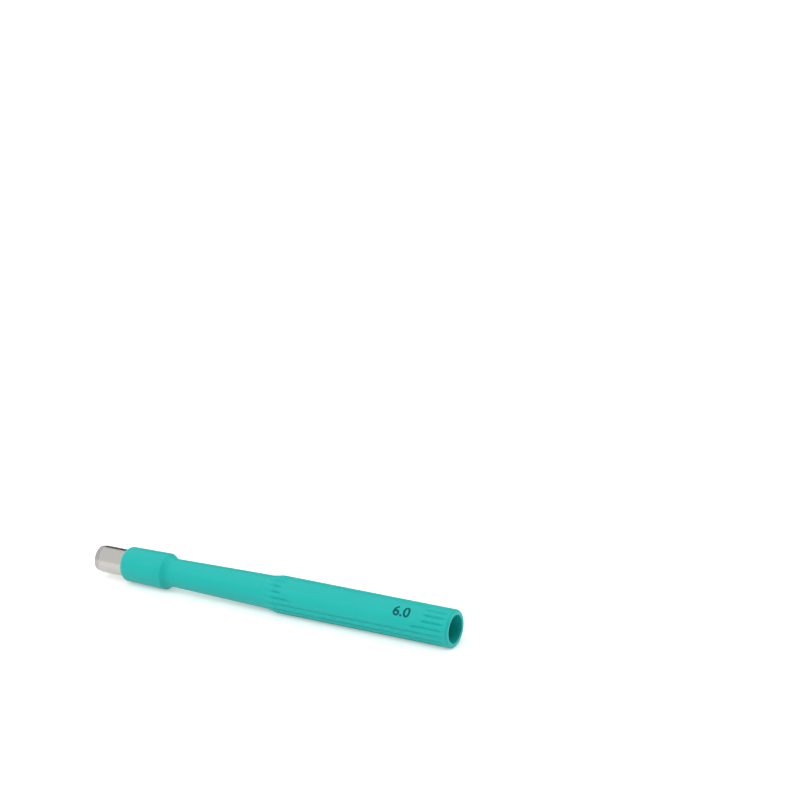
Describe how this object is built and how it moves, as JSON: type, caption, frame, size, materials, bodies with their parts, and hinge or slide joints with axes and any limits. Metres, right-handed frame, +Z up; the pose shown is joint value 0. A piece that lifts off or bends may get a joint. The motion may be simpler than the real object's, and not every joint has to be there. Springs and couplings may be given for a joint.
{
  "type": "biopsy punch",
  "caption": "Disposable biopsy punch: a slim hollow handle with a ribbed grip and a smooth oval pad, and a short tubular steel blade bonded in its nose.",
  "frame": {"origin": "on the surface that the punch lies on, below the middle of its length", "axes": "+X along the punch towards its open rear end, so the blade points to -X; +Z up; the oval pad faces up and towards -Y"},
  "size_m": [0.0958, 0.0088, 0.0089],
  "materials": {
    "handle_plastic": "turquoise ABS, satin as moulded",
    "blade_steel": "drawn stainless tube with a ground edge"
  },
  "bodies": {
    "root": {"handle": "handle_plastic", "blade": "blade_steel"}
  },
  "joints": []
}
